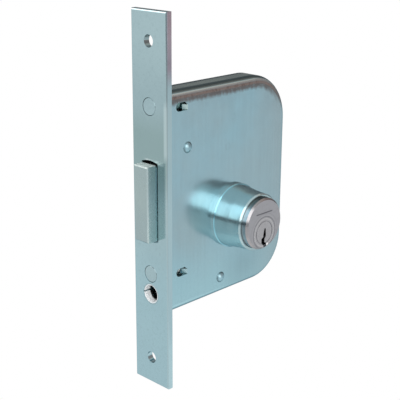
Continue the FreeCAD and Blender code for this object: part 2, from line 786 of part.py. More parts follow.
def pinion_face(y):
    base_radius = pitch_radius * math.cos(math.radians(pressure_angle))
    tip_radius = pitch_radius + tooth_addendum
    root_radius = pitch_radius - tooth_dedendum
    pitch_roll = math.tan(math.radians(pressure_angle))
    half_tooth = (tooth_pitch / 2 - tooth_backlash / 2) / (2 * pitch_radius)
    offset = half_tooth + pitch_roll - math.radians(pressure_angle)

    def place(radius, angle):
        return Vector(backset + radius * math.sin(angle), y, plug_z + radius * math.cos(angle))

    edges = []
    for tooth in range(pinion_teeth):
        middle = 2 * math.pi * tooth / pinion_teeth
        following = 2 * math.pi * (tooth + 1) / pinion_teeth
        radii = (base_radius, (base_radius + tip_radius) / 2, tip_radius)
        flank = [involute_point(radius, base_radius, offset) for radius in radii]
        rising = [place(radius, middle - angle) for radius, angle in flank]
        falling = [place(radius, middle + angle) for radius, angle in reversed(flank)]
        foot_start = place(root_radius, middle - offset)
        foot_end = place(root_radius, middle + offset)
        next_foot = place(root_radius, following - offset)
        valley = place(root_radius, (middle + following) / 2)
        edges += [
            Part.LineSegment(foot_start, rising[0]), Part.Arc(*rising),
            Part.Arc(rising[-1], place(tip_radius, middle), falling[0]), Part.Arc(*falling),
            Part.LineSegment(falling[-1], foot_end), Part.Arc(foot_end, valley, next_foot),
        ]
    return Part.Face(Part.Wire([edge.toShape() for edge in edges]))


def make_drive_pinion():
    gear = pinion_face(-pinion_width / 2).extrude(Vector(0, pinion_width, 0))
    bore = rod_y(backset, plug_z, tang_radius + fit_gap, -pinion_width, pinion_width)
    flats = block(backset - tang_flat - fit_gap, backset + tang_flat + fit_gap, -pinion_width, pinion_width,
                  plug_z - pitch_radius, plug_z + pitch_radius)
    return gear.cut(bore.common(flats))


def slotted_head(x, z, radius, y0, height):
    head = rod_y(x, z, radius, y0, y0 + height)
    slot = block(x - radius - 1, x + radius + 1, y0 + height - screw_slot_depth, y0 + height + 1,
                 z - screw_slot_width / 2, z + screw_slot_width / 2)
    return head.cut(slot)


def make_pinion_screw():
    shank_start = pinion_width / 2 - pinion_screw_length
    head_start = pinion_width / 2
    shank = rod_y(backset, plug_z, pinion_screw_radius, shank_start, head_start)
    head = slotted_head(backset, plug_z, pinion_screw_head_radius, head_start, pinion_screw_head_height)
    return shank.fuse(head).removeSplitter()


def make_cylinder_screws():
    screws = []
    for x, z in cylinder_screw_places:
        shank = rod_y(x, z, cylinder_screw_radius, near_face - cylinder_screw_reach, far_face)
        head = slotted_head(x, z, cylinder_screw_head_radius, far_face, cylinder_screw_head_height)
        screws.append(shank.fuse(head).removeSplitter())
    return Part.makeCompound(screws)


parts = {
    "forend": make_forend,
    "forend_studs": make_forend_studs,
    "front_bush": make_front_bush,
    "case_tray": make_case_tray,
    "case_cover": make_case_cover,
    "case_rivets": make_case_rivets,
    "guide_post": make_guide_post,
    "spacer_posts": make_spacer_posts,
    "brake_spring": make_brake_spring,
    "bolt_head": make_bolt_head,
    "bolt_tail": make_bolt_tail,
    "bolt_rivets": make_bolt_rivets,
    "guard_sleeve": make_guard_sleeve,
    "cylinder_body": make_cylinder_body,
    "cylinder_screws": make_cylinder_screws,
    "chamber_strip": make_chamber_strip,
    "driver_pins": make_driver_pins,
    "pin_springs": make_pin_springs,
    "cylinder_plug": make_cylinder_plug,
    "key_pins": make_key_pins,
    "plug_clip": make_plug_clip,
    "drive_pinion": make_drive_pinion,
    "pinion_screw": make_pinion_screw,
}

os.makedirs("parts", exist_ok=True)
for name, maker in parts.items():
    shape = maker()
    if not shape.isValid():
        raise RuntimeError("the shape of " + name + " is not valid")
    shape.exportStep("parts/" + name + ".step")
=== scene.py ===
import math

import bpy
from mathutils import Matrix, Vector


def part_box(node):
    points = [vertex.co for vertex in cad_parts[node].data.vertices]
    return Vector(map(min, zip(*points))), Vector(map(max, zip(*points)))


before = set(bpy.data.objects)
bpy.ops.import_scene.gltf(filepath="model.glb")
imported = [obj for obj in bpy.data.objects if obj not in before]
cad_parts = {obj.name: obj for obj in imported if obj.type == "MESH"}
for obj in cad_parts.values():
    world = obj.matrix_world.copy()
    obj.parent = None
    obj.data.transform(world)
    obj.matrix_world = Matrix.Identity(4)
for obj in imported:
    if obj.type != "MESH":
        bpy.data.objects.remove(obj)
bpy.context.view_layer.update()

MM = 0.001

# Camera, fitted to the photograph: its place round the lock and its lens
CAMERA_AZIMUTH = -45.73
CAMERA_ELEVATION = 17.91
CAMERA_ROLL = 0.36
CAMERA_DISTANCE = 439.3 * MM
CAMERA_AIM = (26.4 * MM, 0.0, 0.0)
CAMERA_AIM_RIGHT = 3.76 * MM
CAMERA_AIM_UP = -2.36 * MM
CAMERA_LENS = 85.1
CAMERA_SENSOR = 36.0
CAMERA_CLIP_START = 10.0 * MM


def middle_xz(node):
    # the middle of a node's box, across the case and up
    low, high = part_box(node)
    return (low[0] + high[0]) / 2, (low[2] + high[2]) / 2


# Places on the lock that its surfaces refer to
FOREND_NEAR_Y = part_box("forend")[0][1]
PLUG_NEAR_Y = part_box("cylinder_plug")[0][1]
TRAY_LOW, TRAY_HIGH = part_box("case_tray")
TRAY_NEAR_Y = TRAY_LOW[1]
CORNER_RADIUS = 23.2 * MM
CORNER_X = TRAY_HIGH[0] - CORNER_RADIUS
CORNER_Z = TRAY_HIGH[2] - CORNER_RADIUS
SLEEVE_X, SLEEVE_Z = middle_xz("guard_sleeve")
PLUG_X, PLUG_Z = middle_xz("cylinder_plug")
BUSH_Z = middle_xz("front_bush")[1]
RIVETS_LOW, RIVETS_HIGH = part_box("case_rivets")
RIVET_RADIUS = 3.0 * MM
RIVETS = (
    (RIVETS_LOW[0] + RIVET_RADIUS, RIVETS_HIGH[2] - RIVET_RADIUS),
    (RIVETS_HIGH[0] - RIVET_RADIUS, RIVETS_LOW[2] + RIVET_RADIUS),
)

# Base colours of the metals, linear
EDGE_TINT = (0.50, 0.60, 0.64)
ZINC = (0.278, 0.448, 0.518)
ZINC_GREY = (0.305, 0.395, 0.425)
ZINC_LIGHT = (0.325, 0.525, 0.585)
FOREND_ZINC = (0.310, 0.428, 0.458)
FOREND_LIGHT = (0.390, 0.525, 0.555)
BOLT_ZINC = (0.36, 0.45, 0.45)
BOLT_TOP_PAINTED_LIGHT = (0.78, 0.84, 0.82)
SLEEVE_ZINC = (0.60, 0.77, 0.79)
SLEEVE_GREY = (0.60, 0.70, 0.70)
NICKEL = (0.340, 0.345, 0.368)
NICKEL_BRIGHT = (0.54, 0.53, 0.55)
STEEL = (0.30, 0.30, 0.31)
SPRING_STEEL = (0.16, 0.165, 0.175)
BRASS = (0.48, 0.33, 0.12)


def darker(color, share):
    return tuple(share * part for part in color)


def link(tree, source, target):
    tree.links.new(source, target)


def math_node(tree, operation, first, second=None, clamp=False):
    node = tree.nodes.new("ShaderNodeMath")
    node.operation = operation
    node.use_clamp = clamp
    for socket, value in zip(node.inputs, (first, second)):
        if value is None:
            continue
        if isinstance(value, (int, float)):
            socket.default_value = value
        else:
            link(tree, value, socket)
    return node.outputs[0]


def map_range(tree, value, low, high, to_low, to_high):
    node = tree.nodes.new("ShaderNodeMapRange")
    node.inputs["From Min"].default_value = low
    node.inputs["From Max"].default_value = high
    node.inputs["To Min"].default_value = to_low
    node.inputs["To Max"].default_value = to_high
    link(tree, value, node.inputs["Value"])
    return node.outputs["Result"]


def mix_colors(tree, factor, first, second):
    node = tree.nodes.new("ShaderNodeMix")
    node.data_type = "RGBA"
    link(tree, factor, node.inputs["Factor"])
    for name, value in (("A", first), ("B", second)):
        socket = [s for s in node.inputs if s.name == name and s.type == "RGBA"][0]
        if isinstance(value, tuple):
            socket.default_value = value + (1.0,)
        else:
            link(tree, value, socket)
    return [s for s in node.outputs if s.type == "RGBA"][0]


def coordinate_parts(tree, kind):
    # the three parts of a place ("Object") or of the surface's own direction ("Normal") in the lock's frame
    coordinates = tree.nodes.new("ShaderNodeTexCoord")
    separate = tree.nodes.new("ShaderNodeSeparateXYZ")
    link(tree, coordinates.outputs[kind], separate.inputs["Vector"])
    return separate.outputs["X"], separate.outputs["Y"], separate.outputs["Z"]


def new_material(name, metallic):
    material = bpy.data.materials.new(name)
    material.use_nodes = True
    tree = material.node_tree
    shader = tree.nodes["Principled BSDF"]
    shader.inputs["Metallic"].default_value = metallic
    return material, tree, shader


class Metal:
    """A metal surface that is built up in steps: a base with soft clouds, marks on it, and its gloss.

    A mask is 0 where a mark is absent and 1 where it is full. Places are in metres. nx, ny and nz are 1
    where the surface faces along an axis and -1 where it faces against it.
    """

    def __init__(self, name, base, cloud_color, cloud_share, roughness, metallic=1.0):
        self.metallic = metallic
        self.material, self.tree, self.shader = new_material(name, metallic)
        self.shader.inputs["Specular Tint"].default_value = EDGE_TINT + (1.0,)
        self.x, self.y, self.z = coordinate_parts(self.tree, "Object")
        self.nx, self.ny, self.nz = coordinate_parts(self.tree, "Normal")
        clouds = self.noise(scale=26.0, detail=4.0, roughness=0.6)
        cloud_mask = self.fade(clouds, 0.38, 0.68, cloud_share)
        self.color = mix_colors(self.tree, cloud_mask, base, cloud_color)
        gloss = self.noise(scale=120.0, detail=3.0, roughness=0.6)
        self.roughness = self.fade(gloss, 0.3, 0.7, roughness * 1.18, roughness * 0.82)

    def math(self, operation, first, second=None, clamp=False):
        return math_node(self.tree, operation, first, second, clamp)

    def noise(self, scale, detail, roughness, stretch=(1.0, 1.0, 1.0)):
        # cloudy values round 0.5, finer at a larger scale; a stretch under 1 draws them out along its axis
        coordinates = self.tree.nodes.new("ShaderNodeTexCoord")
        mapping = self.tree.nodes.new("ShaderNodeMapping")
        mapping.inputs["Scale"].default_value = stretch
        link(self.tree, coordinates.outputs["Object"], mapping.inputs["Vector"])
        node = self.tree.nodes.new("ShaderNodeTexNoise")
        node.inputs["Scale"].default_value = scale
        node.inputs["Detail"].default_value = detail
        node.inputs["Roughness"].default_value = roughness
        link(self.tree, mapping.outputs["Vector"], node.inputs["Vector"])
        return node.outputs["Fac"]

    def fade(self, value, start, end, last=1.0, first=0.0):
        # first up to start, last from end on, and an even change between; start may lie above end
        return map_range(self.tree, value, start, end, first, last)

    def band(self, value, low, high, soft):
        # 1 between low and high, falling to 0 over soft outside them
        rise = self.fade(value, low - soft, low)
        fall = self.fade(value, high, high + soft, 0.0, 1.0)
        return self.overlap(rise, fall)

    def overlap(self, mask, *others):
        # where all the masks are; a plain number among them is a share
        for other in others:
            mask = self.math("MULTIPLY", mask, other)
        return mask

    def distance(self, first, second, centre):
        # distance in a plane from the point centre, given the plane's two coordinates
        a = self.math("SUBTRACT", first, centre[0])
        b = self.math("SUBTRACT", second, centre[1])
        squares = self.math("ADD", self.math("MULTIPLY", a, a), self.math("MULTIPLY", b, b))
        return self.math("SQRT", squares)

    def ring(self, distance, radius, half_width):
        # 1 on the ring of that radius, falling to 0 at half_width from it
        off = self.math("ABSOLUTE", self.math("SUBTRACT", distance, radius))
        return self.fade(off, 0.0, half_width, 0.0, 1.0)

    def tint(self, mask, color):
        self.color = mix_colors(self.tree, mask, self.color, color)

    def speckle(self, color, scale, share):
        spots = self.noise(scale, detail=2.0, roughness=0.6)
        self.tint(self.fade(spots, 0.52, 0.80, share), color)

    def rougher(self, mask, amount):
        self.roughness = self.math("ADD", self.roughness, self.overlap(mask, amount), clamp=True)

    def less_metallic(self, mask, metallic):
        change = self.fade(mask, 0.0, 1.0, metallic, self.metallic)
        link(self.tree, change, self.shader.inputs["Metallic"])

    def grain(self, scale, strength, depth, stretch=(1.0, 1.0, 1.0)):
        height = self.noise(scale, detail=2.0, roughness=0.6, stretch=stretch)
        node = self.tree.nodes.new("ShaderNodeBump")
        node.inputs["Strength"].default_value = strength
        node.inputs["Distance"].default_value = depth
        link(self.tree, height, node.inputs["Height"])
        link(self.tree, node.outputs["Normal"], self.shader.inputs["Normal"])

    def done(self):
        link(self.tree, self.color, self.shader.inputs["Base Color"])
        link(self.tree, self.roughness, self.shader.inputs["Roughness"])
        return self.material


# Sheet of the case: its tints, the centres of two darker patches of painted reflection on its near
# side, and how far from the corner's centre the brown bloom, partly a painted reflection, starts and is full
PAINTED_SLEEVE_REFLECTION = (0.31, 0.385, 0.395)
PAINTED_SLEEVE_REFLECTION_PLACE = (20.0 * MM, -13.0 * MM)
PAINTED_HEAD_REFLECTION = (0.21, 0.32, 0.36)
PAINTED_HEAD_REFLECTION_PLACE = (57.0 * MM, -41.0 * MM)
BLOOM_AND_REFLECTION_BROWN = (0.120, 0.102, 0.098)
BLOOM_AND_REFLECTION_PALE = (0.34, 0.335, 0.32)
BLOOM_AND_REFLECTION_GREY = (0.20, 0.20, 0.20)
BLOOM_AND_REFLECTION_START = CORNER_RADIUS - 6.3 * MM
BLOOM_AND_REFLECTION_FULL = CORNER_RADIUS - 4.6 * MM
BLOOM_AND_REFLECTION_RAGGED = 3.4 * MM
BEND_PAINTED_HIGHLIGHT = (0.42, 0.51, 0.52)
BEND_TOP_PAINTED_SHADE = (0.125, 0.155, 0.155)
TOP_PALE = (0.58, 0.65, 0.60)
TONGUE_PAINTED_HIGHLIGHT = (0.50, 0.65, 0.65)
INNER_PALE = (0.80, 0.95, 0.92)
INNER_METALLIC = 0.1


def shade_sheet(metal, near_side):
    # paler low down and greyer at the back, with two darker patches of painted reflection, left of the sleeve
    # and under the cylinder head, and fine upright streaks
    metal.tint(metal.fade(metal.z, -16.0 * MM, -46.0 * MM, 0.85), ZINC_LIGHT)
    metal.tint(metal.fade(metal.x, 60.0 * MM, 80.0 * MM, 0.7), ZINC_GREY)
    # painted reflection of the sleeve, a darker patch left of it
    from_sleeve_reflection = metal.distance(metal.x, metal.z, PAINTED_SLEEVE_REFLECTION_PLACE)
    metal.tint(metal.overlap(near_side, metal.fade(from_sleeve_reflection, 20.0 * MM, 2.0 * MM, 0.45)), PAINTED_SLEEVE_REFLECTION)
    # painted reflection of the cylinder head, a darker patch under it
    from_head_reflection = metal.distance(metal.x, metal.z, PAINTED_HEAD_REFLECTION_PLACE)
    metal.tint(metal.overlap(near_side, metal.fade(from_head_reflection, 19.0 * MM, 2.0 * MM, 0.5)), PAINTED_HEAD_REFLECTION)
    streaks = metal.noise(scale=900.0, detail=3.0, roughness=0.6, stretch=(1.0, 1.0, 0.035))
    metal.tint(metal.fade(streaks, 0.45, 0.75, 0.10), ZINC_LIGHT)
    metal.tint(metal.fade(streaks, 0.55, 0.30, 0.08), darker(ZINC, 0.72))
    metal.speckle(darker(ZINC, 0.8), scale=800.0, share=0.25)


def bloom_and_reflection_sheet(metal, near_side):
    # brown bloom round the upper edge of the face, ragged below and mottled on the bend, partly the plating's
    # own colour and partly a painted reflection of brown surroundings
    cloudy = metal.noise(scale=520.0, detail=4.0, roughness=0.7, stretch=(1.0, 0.25, 0.25))
    ragged = metal.math("SUBTRACT", cloudy, 0.5)
    mottle = metal.noise(scale=700.0, detail=3.0, roughness=0.7, stretch=(1.0, 0.4, 0.4))
    across = metal.math("MAXIMUM", metal.math("SUBTRACT", metal.x, CORNER_X), 0.0)
    upward = metal.math("MAXIMUM", metal.math("SUBTRACT", metal.z, CORNER_Z), 0.0)
    from_corner = metal.distance(across, upward, (0.0, 0.0))
    reach = metal.math("ADD", from_corner, metal.math("MULTIPLY", ragged, BLOOM_AND_REFLECTION_RAGGED))
    high_up = metal.fade(metal.z, 36.0 * MM, 46.0 * MM)
    uneven = metal.fade(mottle, 0.30, 0.55, 1.0, 0.7)
    bloom_and_reflection = metal.overlap(metal.fade(reach, BLOOM_AND_REFLECTION_START, BLOOM_AND_REFLECTION_FULL), high_up, near_side, uneven)
    # brown bloom and painted reflection on the face
    metal.tint(metal.overlap(bloom_and_reflection, metal.fade(metal.nz, 0.16, 0.06, 0.9)), BLOOM_AND_REFLECTION_BROWN)
    # the same bloom and painted reflection on the bend, paler with mottled grey
    bend_bloom_and_reflection = metal.overlap(bloom_and_reflection, metal.band(metal.nz, 0.12, 0.36, 0.06))
    metal.tint(bend_bloom_and_reflection, BLOOM_AND_REFLECTION_PALE)
    metal.tint(metal.overlap(bend_bloom_and_reflection, metal.fade(mottle, 0.52, 0.66, 0.8)), BLOOM_AND_REFLECTION_GREY)


def shade_sheet_edges(metal):
    # above the bloom a painted highlight along the bend, then painted shade on the faces turned up, with a
    # pale stripe along the flat top; painted shade on the faces turned back and down, and all but the near
    # face a little rougher
    # painted highlight along the bend
    metal.tint(metal.band(metal.nz, 0.45, 0.64, 0.06), BEND_PAINTED_HIGHLIGHT)
    # painted shade on the faces turned up
    metal.tint(metal.fade(metal.nz, 0.68, 0.76), BEND_TOP_PAINTED_SHADE)
    level = metal.fade(metal.nz, 0.975, 0.995)
    stripe = metal.band(metal.y, -1.6 * MM, 3.4 * MM, 0.6 * MM)
    along = metal.noise(scale=900.0, detail=3.0, roughness=0.7, stretch=(0.06, 1.0, 1.0))
    metal.tint(metal.overlap(level, stripe, metal.fade(along, 0.3, 0.65, 1.0, 0.45)), TOP_PALE)
    # painted shade on the faces turned back and down
    metal.tint(metal.fade(metal.nx, 0.30, 0.62, 0.85), darker(ZINC, 0.55))
    metal.tint(metal.fade(metal.nz, -0.30, -0.62, 0.85), darker(ZINC, 0.5))
    metal.rougher(metal.fade(metal.ny, -0.97, -0.85), 0.02)


def mark_tongues_and_inside(metal):
    # the staked tongues carry a painted highlight, weaker low down, and the cover's inner face behind them is
    # dull
    faces_front = metal.fade(metal.nx, -0.45, -0.65)
    faces_near = metal.fade(metal.ny, -0.35, -0.55)
    tongue_highlight = metal.overlap(faces_front, faces_near, metal.fade(metal.z, -10.0 * MM, 10.0 * MM, 1.0, 0.3))
    # painted highlight on the tongues
    metal.tint(tongue_highlight, TONGUE_PAINTED_HIGHLIGHT)
    metal.rougher(tongue_highlight, 0.15)
    past_middle = metal.fade(metal.y, 3.0 * MM, 4.0 * MM)
    past_bush = metal.fade(metal.x, 13.0 * MM, 16.0 * MM)
    inner = metal.overlap(metal.fade(metal.ny, -0.80, -0.95), past_middle, past_bush)
    metal.tint(inner, INNER_PALE)
    metal.rougher(inner, 0.50)
    metal.less_metallic(inner, INNER_METALLIC)


def plated_sheet():
    metal = Metal("zinc_plated_sheet", ZINC, ZINC_GREY, cloud_share=0.55, roughness=0.20)
    near_side = metal.fade(metal.y, 1.0 * MM, 0.0)
    shade_sheet(metal, near_side)
    bloom_and_reflection_sheet(metal, near_side)
    shade_sheet_edges(metal)
    mark_tongues_and_inside(metal)
    metal.grain(scale=1600.0, strength=0.35, depth=0.02 * MM, stretch=(1.0, 1.0, 0.03))
    return metal.done()


# Forend: its tints, and half the width of the bolt's opening
FOREND_BLUE = (0.345, 0.53, 0.59)
FOREND_PAINTED_SHADE = (0.255, 0.365, 0.365)
SIDE_BLUE_PAINTED_REFLECTION = (0.365, 0.51, 0.56)
SIDE_VIOLET_PAINTED_REFLECTION = (0.34, 0.29, 0.36)
SIDE_LILAC_PAINTED_REFLECTION = (0.64, 0.63, 0.76)
RIM_PAINTED_HIGHLIGHT = (0.62, 0.70, 0.71)
STREAK_PAINTED_HIGHLIGHT = (0.50, 0.62, 0.64)
SLOT_HALF = 5.3 * MM
SLOT_PALE = (0.45, 0.62, 0.68)
SLOT_TOP_PAINTED_SHADE = (0.03, 0.04, 0.04)
BEVEL_PAINTED_HIGHLIGHT = (0.80, 0.90, 0.92)


def shade_forend(metal):
    # bluer low down, darker above the bolt with painted shade, paler near the upper end
    metal.tint(metal.fade(metal.z, -5.0 * MM, -35.0 * MM, 0.6), FOREND_BLUE)
    above_bolt = metal.band(metal.z, 16.0 * MM, 34.0 * MM, 12.0 * MM)
    # painted shade above the bolt
    metal.tint(metal.overlap(above_bolt, 0.75), FOREND_PAINTED_SHADE)
    metal.tint(metal.fade(metal.z, 45.0 * MM, 75.0 * MM, 0.65), FOREND_LIGHT)
    metal.speckle(darker(FOREND_ZINC, 0.8), scale=600.0, share=0.3)


def shade_forend_edges(metal):
    # the near side is painted reflection, blue turning to lilac upwards; the face has a painted
    # highlight on its rounded rim and painted shade on its rounded near edge, deeper upwards
    at_side = metal.fade(metal.y, FOREND_NEAR_Y + 0.6 * MM, FOREND_NEAR_Y + 0.4 * MM)
    # painted reflection on the near side
    side = metal.overlap(metal.fade(metal.ny, -0.75, -0.97), at_side)
    metal.tint(metal.overlap(side, metal.fade(metal.z, -55.0 * MM, -64.0 * MM, 0.4, 0.85)), SIDE_BLUE_PAINTED_REFLECTION)
    metal.tint(metal.overlap(side, metal.fade(metal.z, 55.0 * MM, 63.0 * MM, 0.95)), SIDE_VIOLET_PAINTED_REFLECTION)
    metal.tint(metal.overlap(side, metal.fade(metal.z, 66.0 * MM, 76.0 * MM, 0.9)), SIDE_LILAC_PAINTED_REFLECTION)
    at_face = metal.fade(metal.x, 0.75 * MM, 0.25 * MM)
    rim = metal.overlap(at_face, metal.fade(metal.nx, -0.97, -0.85), metal.fade(metal.nx, -0.45, -0.75))
    # painted highlight on the rounded rim, strongest where it turns up
    metal.tint(metal.overlap(rim, metal.fade(metal.nz, 0.05, 0.3, 1.0, 0.25)), RIM_PAINTED_HIGHLIGHT)
    # painted shade on the rounded near edge
    corner = metal.band(metal.ny, -0.97, -0.5, 0.05)
    darker_upwards = metal.fade(metal.z, 0.0, 60.0 * MM, 0.65, 0.15)
    metal.tint(metal.overlap(corner, darker_upwards), darker(FOREND_ZINC, 0.45))


def mark_forend(metal):
    # a pale streak of painted highlight by the near edge, pale walls and a dark top of painted shade in the
    # bolt's opening, and a painted highlight on the bevel above it
    # painted highlight by the near edge
    streak_width = metal.band(metal.y, -10.5 * MM, -9.4 * MM, 0.6 * MM)
    streak_height = metal.band(metal.z, 26.0 * MM, 46.0 * MM, 4.0 * MM)
    metal.tint(metal.overlap(streak_width, streak_height, 0.6), STREAK_PAINTED_HIGHLIGHT)
    between_walls = metal.band(metal.y, -SLOT_HALF, SLOT_HALF, 0.05 * MM)
    behind_face = metal.fade(metal.x, 0.02 * MM, 0.1 * MM)
    walls = metal.overlap(between_walls, metal.band(metal.z, -16.0 * MM, 18.9 * MM, 0.3 * MM), behind_face)
    metal.tint(walls, SLOT_PALE)
    # painted highlight on the bevel above the opening
    patch_height = metal.band(metal.z, 21.0 * MM, 21.7 * MM, 0.9 * MM)
    patch_width = metal.band(metal.y, -5.6 * MM, 0.0, 4.2 * MM)
    faces_out = metal.fade(metal.nx, -0.60, -0.68)
    smeared = metal.fade(metal.noise(scale=420.0, detail=2.0, roughness=0.6), 0.38, 0.58, 1.0, 0.25)
    metal.tint(metal.overlap(patch_height, patch_width, faces_out, smeared, 0.95), BEVEL_PAINTED_HIGHLIGHT)
    # painted shade at the top of the opening
    top_height = metal.band(metal.z, 19.3 * MM, 21.6 * MM, 0.2 * MM)
    metal.tint(metal.overlap(between_walls, top_height, behind_face), SLOT_TOP_PAINTED_SHADE)
    metal.rougher(walls, 0.35)


def forend_plate():
    metal = Metal("zinc_plated_forend", FOREND_ZINC, FOREND_LIGHT, cloud_share=0.6, roughness=0.13)
    shade_forend(metal)
    shade_forend_edges(metal)
    mark_forend(metal)
    metal.grain(scale=1300.0, strength=0.25, depth=0.012 * MM, stretch=(1.0, 1.0, 0.06))
    return metal.done()


# Bolt: its tints
BOLT_PITTED = (0.36, 0.43, 0.42)
BOLT_SIDE_PAINTED_LIGHT = (0.49, 0.60, 0.62)
BOLT_SIDE_LOW_PAINTED_LIGHT = (0.64, 0.78, 0.76)


def plated_bolt():
    # ground faces with a fine upright grain; painted light makes the top pale, and it is matt where it stands
    # out at rest; painted light makes the near side paler, most of all low down
    metal = Metal("zinc_plated_bolt", BOLT_ZINC, ZINC_GREY, cloud_share=0.5, roughness=0.26)
    top = metal.fade(metal.nz, 0.5, 0.8)
    # painted light on the top
    metal.tint(top, BOLT_TOP_PAINTED_LIGHT)
    pits = metal.fade(metal.noise(scale=700.0, detail=3.0, roughness=0.7), 0.46, 0.58, 0.8)
    metal.tint(metal.overlap(top, pits), BOLT_PITTED)
    metal.rougher(metal.overlap(top, metal.fade(metal.x, 0.0, -0.5 * MM)), 0.45)
    side = metal.fade(metal.ny, -0.5, -0.9)
    # painted light on the near side, paler low down
    metal.tint(side, BOLT_SIDE_PAINTED_LIGHT)
    metal.tint(metal.overlap(side, metal.fade(metal.z, 8.0 * MM, -18.0 * MM, 0.8)), BOLT_SIDE_LOW_PAINTED_LIGHT)
    metal.speckle(darker(BOLT_ZINC, 0.8), scale=900.0, share=0.35)
    metal.grain(scale=1600.0, strength=0.3, depth=0.02 * MM, stretch=(1.0, 1.0, 0.10))
    return metal.done()


# Sleeve: its painted shades, on the faces turned to its near end and at its foot
SLEEVE_NEAR_PAINTED_SHADE = (0.31, 0.43, 0.46)
SLEEVE_FOOT_PAINTED_SHADE = (0.22, 0.47, 0.56)


def plated_sleeve():
    # turned, with fine rings round it and painted shade on the faces turned to its near end, bluer at its
    # foot
    metal = Metal("zinc_plated_sleeve", SLEEVE_ZINC, SLEEVE_GREY, cloud_share=0.6, roughness=0.19,
                  metallic=0.94)
    turned = metal.noise(scale=1300.0, detail=2.0, roughness=0.6, stretch=(0.04, 1.0, 0.04))
    metal.tint(metal.fade(turned, 0.45, 0.75, 0.25), darker(SLEEVE_ZINC, 0.7))
    # painted shade on the faces turned to the near end, bluer at the foot
    near_side = metal.fade(metal.ny, -0.25, -0.55, 0.85)
    metal.tint(near_side, SLEEVE_NEAR_PAINTED_SHADE)
    metal.tint(metal.overlap(near_side, metal.fade(metal.y, -20.0 * MM, -19.0 * MM)), SLEEVE_FOOT_PAINTED_SHADE)
    metal.grain(scale=1700.0, strength=0.3, depth=0.012 * MM, stretch=(0.05, 1.0, 0.05))
    return metal.done()


# Rivets: the painted shade round the rim of a head, and its painted highlights as steps from its
# centre and a radius
RIVET_RIM_PAINTED_SHADE = (0.09, 0.15, 0.17)
RIVET_RIM_RADIUS = 2.45 * MM
RIVET_RIM_HALF = 0.7 * MM
RIVET_PAINTED_HIGHLIGHT = (0.62, 0.90, 0.98)
RIVET_HIGHLIGHT_SPOTS = ((-1.0 * MM, 0.8 * MM, 0.9 * MM), (1.5 * MM, -1.2 * MM, 0.7 * MM))


def plated_rivet():
    # domed heads with painted shade round the rim and two painted highlights
    metal = Metal("zinc_plated_rivet", ZINC, ZINC_LIGHT, cloud_share=0.6, roughness=0.48)
    head = metal.fade(metal.y, TRAY_NEAR_Y + 0.3 * MM, TRAY_NEAR_Y)
    for x, z in RIVETS:
        reach = metal.distance(metal.x, metal.z, (x, z))
        rim = metal.ring(reach, RIVET_RIM_RADIUS, RIVET_RIM_HALF)
        # painted shade round the rim of the head
        metal.tint(metal.overlap(head, rim, 0.85), RIVET_RIM_PAINTED_SHADE)
        # painted highlights on the head
        for step_x, step_z, radius in RIVET_HIGHLIGHT_SPOTS:
            from_spot = metal.distance(metal.x, metal.z, (x + step_x, z + step_z))
            metal.tint(metal.overlap(head, metal.fade(from_spot, radius, 0.3 * radius, 0.9)), RIVET_PAINTED_HIGHLIGHT)
    metal.grain(scale=900.0, strength=0.3, depth=0.02 * MM)
    return metal.done()


def plated_fastener():
    metal = Metal("zinc_plated_fastener", ZINC_LIGHT, ZINC_GREY, cloud_share=0.5, roughness=0.30)
    metal.speckle(darker(ZINC, 0.7), scale=900.0, share=0.4)
    metal.grain(scale=900.0, strength=0.3, depth=0.02 * MM)
    return metal.done()


# Studs: the tints of their shafts and of the rims of their flush ends
SHAFT_PALE = (0.86, 0.95, 0.94)
SHAFT_PAINTED_SHADE = (0.16, 0.34, 0.33)
SHAFT_METALLIC = 0.1
STUD_RIM = (0.13, 0.18, 0.19)


def stud_metal():
    # the studs' flush ends match the forend; their shafts are duller, with painted shade on the upper stud's
    # shaft
    metal = Metal("zinc_plated_stud", FOREND_ZINC, FOREND_LIGHT, cloud_share=0.6, roughness=0.15,
                  metallic=0.85)
    shaft = metal.fade(metal.x, 1.0 * MM, 3.0 * MM)
    metal.tint(shaft, SHAFT_PALE)
    # painted shade on the upper stud's shaft
    metal.tint(metal.overlap(shaft, metal.fade(metal.z, -5.0 * MM, 5.0 * MM, 0.9)), SHAFT_PAINTED_SHADE)
    rim = metal.overlap(metal.fade(metal.x, 0.8 * MM, 0.5 * MM), metal.fade(metal.nx, -0.97, -0.85))
    uneven = metal.fade(metal.noise(scale=260.0, detail=2.0, roughness=0.5), 0.38, 0.62, 0.9, 0.15)
    metal.tint(metal.overlap(rim, uneven), STUD_RIM)
    metal.rougher(shaft, 0.40)
    metal.less_metallic(shaft, SHAFT_METALLIC)
    metal.speckle(darker(FOREND_ZINC, 0.8), scale=700.0, share=0.3)
    metal.grain(scale=520.0, strength=0.6, depth=0.05 * MM)
    return metal.done()


# Bush: its colours, and the radius past which its end is plated as the forend is
BUSH_WHITE = (0.97, 0.98, 0.98)
BUSH_PALE = (0.86, 0.90, 0.91)
BUSH_SPECK = (0.50, 0.55, 0.57)
BUSH_INNER_PAINTED_SHADE = (0.01, 0.012, 0.012)
BUSH_PLATED_START = 4.3 * MM
BUSH_PLATED_FULL = 4.55 * MM


def bush_metal():
    # rolled strip, pale inside, with painted shade at its inner end
    metal = Metal("bright_rolled_bush", BUSH_WHITE, BUSH_PALE, cloud_share=0.6, roughness=0.42, metallic=0.08)
    metal.speckle(BUSH_SPECK, scale=900.0, share=0.3)
    reach = metal.distance(metal.y, metal.z, (0.0, BUSH_Z))
    faces_out = metal.fade(metal.nx, -0.7, -0.9)
    plated = metal.overlap(faces_out, metal.fade(reach, BUSH_PLATED_START, BUSH_PLATED_FULL))
    metal.tint(plated, darker(FOREND_ZINC, 0.8))
    # painted shade at the inner end
    metal.tint(metal.fade(metal.x, 3.2 * MM, 3.6 * MM), BUSH_INNER_PAINTED_SHADE)
    metal.grain(scale=1200.0, strength=0.3, depth=0.02 * MM, stretch=(0.1, 1.0, 1.0))
    return metal.done()


